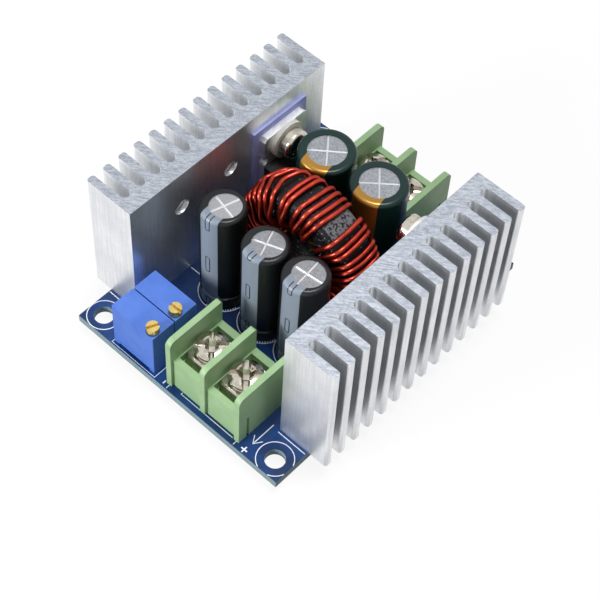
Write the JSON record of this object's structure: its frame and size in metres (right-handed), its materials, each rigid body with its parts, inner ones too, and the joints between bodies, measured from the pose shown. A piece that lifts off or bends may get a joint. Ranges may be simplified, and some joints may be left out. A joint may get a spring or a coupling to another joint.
{
  "type": "buck converter module",
  "caption": "Step-down converter board with tall comb heatsinks along both sides, a standing red-wound ring choke, can capacitors, trimmers and screw terminals at each end.",
  "frame": {"origin": "middle of the module's outline, at the level of its soldered pins' lowest points", "axes": "+Z out of the component side of the board, +Y along the heatsinks towards the input terminals, +X to the right when the output terminals face the viewer"},
  "size_m": [0.053, 0.06, 0.03],
  "materials": {
    "solder_mask": "glossy blue solder mask over glass fibre",
    "aluminium": "bare drawn aluminium",
    "silicone": "matt soft silicone",
    "tinned_copper": "tin plate",
    "black_epoxy": "matt moulding compound",
    "white_nylon": "matt nylon",
    "nickel_steel": "nickel plate",
    "core_coating": "speckled black coating over a pressed powder core",
    "red_enamel": "red enamel over copper",
    "seal_rubber": "matt rubber",
    "solder": "shiny solder",
    "shunt_ceramic": "glazed ceramic",
    "chip_ceramic": "fired ceramic",
    "black_sleeve": "shrunk film",
    "green_sleeve": "shrunk film",
    "blue_case": "moulded case",
    "brass": "bare brass",
    "green_plastic": "moulded nylon"
  },
  "bodies": {
    "module": {"circuit_board": "solder_mask", "left_heatsink": "aluminium", "right_heatsink": "aluminium", "left_thermal_pad": "silicone", "right_thermal_pad": "silicone", "left_transistor_leadframe": "tinned_copper", "right_rectifier_leadframe": "tinned_copper", "left_transistor_body": "black_epoxy", "right_rectifier_body": "black_epoxy", "left_insulating_washer": "white_nylon", "right_insulating_washer": "white_nylon", "left_spring_washer": "nickel_steel", "right_spring_washer": "nickel_steel", "left_heatsink_screw": "nickel_steel", "right_heatsink_screw": "nickel_steel", "choke_core": "core_coating", "choke_wire_a": "red_enamel", "choke_wire_b": "red_enamel", "trimmer_pins": "tinned_copper", "output_cap_seals": "seal_rubber", "input_cap_seals": "seal_rubber", "output_cap_leads": "tinned_copper", "input_cap_leads": "tinned_copper", "solder_joints": "solder", "controller_chip": "black_epoxy", "amplifier_chip": "black_epoxy", "controller_legs": "tinned_copper", "amplifier_legs": "tinned_copper", "current_shunts": "shunt_ceramic", "chip_resistors": "black_epoxy", "chip_capacitors": "chip_ceramic", "output_can_1": "aluminium", "output_sleeve_1": "black_sleeve", "output_can_2": "aluminium", "output_sleeve_2": "black_sleeve", "output_can_3": "aluminium", "output_sleeve_3": "black_sleeve", "input_can_1": "aluminium", "input_sleeve_1": "green_sleeve", "input_can_2": "aluminium", "input_sleeve_2": "green_sleeve", "front_trimmer_case": "blue_case", "rear_trimmer_case": "blue_case", "output_terminal_housing": "green_plastic", "output_contact_1": "tinned_copper", "output_contact_2": "tinned_copper", "input_terminal_housing": "green_plastic", "input_contact_1": "tinned_copper", "input_contact_2": "tinned_copper"},
    "front_trimmer_screw_body": {"front_trimmer_screw": "brass"},
    "rear_trimmer_screw_body": {"rear_trimmer_screw": "brass"},
    "output_clamp_plate_1_body": {"output_clamp_plate_1": "nickel_steel"},
    "output_clamp_screw_1_body": {"output_clamp_screw_1": "nickel_steel"},
    "output_clamp_plate_2_body": {"output_clamp_plate_2": "nickel_steel"},
    "output_clamp_screw_2_body": {"output_clamp_screw_2": "nickel_steel"},
    "input_clamp_plate_1_body": {"input_clamp_plate_1": "nickel_steel"},
    "input_clamp_screw_1_body": {"input_clamp_screw_1": "nickel_steel"},
    "input_clamp_plate_2_body": {"input_clamp_plate_2": "nickel_steel"},
    "input_clamp_screw_2_body": {"input_clamp_screw_2": "nickel_steel"}
  },
  "joints": [
    {"name": "front_trimmer_screw_turn", "type": "hinge", "parent": "module", "child": "front_trimmer_screw_body", "pos_m": [-0.00665, -0.0279, 0.0134], "axis": [0, 0, 1], "continuous": true},
    {"name": "rear_trimmer_screw_turn", "type": "hinge", "parent": "module", "child": "rear_trimmer_screw_body", "pos_m": [-0.00665, -0.02285, 0.0134], "axis": [0, 0, 1], "continuous": true},
    {"name": "output_1_clamp_lift", "type": "slide", "parent": "module", "child": "output_clamp_plate_1_body", "axis": [0, 0, 1], "range_m": [0, 0.0025]},
    {"name": "output_1_screw_turn", "type": "hinge", "parent": "output_clamp_plate_1_body", "child": "output_clamp_screw_1_body", "pos_m": [0.00164, -0.0229, 0.0104], "axis": [0, 0, 1], "range_deg": [0, 1800]},
    {"name": "output_2_clamp_lift", "type": "slide", "parent": "module", "child": "output_clamp_plate_2_body", "axis": [0, 0, 1], "range_m": [0, 0.0025]},
    {"name": "output_2_screw_turn", "type": "hinge", "parent": "output_clamp_plate_2_body", "child": "output_clamp_screw_2_body", "pos_m": [0.00926, -0.0229, 0.0104], "axis": [0, 0, 1], "range_deg": [0, 1800]},
    {"name": "input_1_clamp_lift", "type": "slide", "parent": "module", "child": "input_clamp_plate_1_body", "axis": [0, 0, 1], "range_m": [0, 0.0025]},
    {"name": "input_1_screw_turn", "type": "hinge", "parent": "input_clamp_plate_1_body", "child": "input_clamp_screw_1_body", "pos_m": [0.00311, 0.0232, 0.0104], "axis": [0, 0, 1], "range_deg": [0, 1800]},
    {"name": "input_2_clamp_lift", "type": "slide", "parent": "module", "child": "input_clamp_plate_2_body", "axis": [0, 0, 1], "range_m": [0, 0.0025]},
    {"name": "input_2_screw_turn", "type": "hinge", "parent": "input_clamp_plate_2_body", "child": "input_clamp_screw_2_body", "pos_m": [-0.00451, 0.0232, 0.0104], "axis": [0, 0, 1], "range_deg": [0, 1800]}
  ],
  "couplings": [
    {"joint": "output_1_screw_turn", "follows": "output_1_clamp_lift", "rad_per_m": 12566},
    {"joint": "output_2_screw_turn", "follows": "output_2_clamp_lift", "rad_per_m": 12566},
    {"joint": "input_1_screw_turn", "follows": "input_1_clamp_lift", "rad_per_m": 12566},
    {"joint": "input_2_screw_turn", "follows": "input_2_clamp_lift", "rad_per_m": 12566}
  ]
}
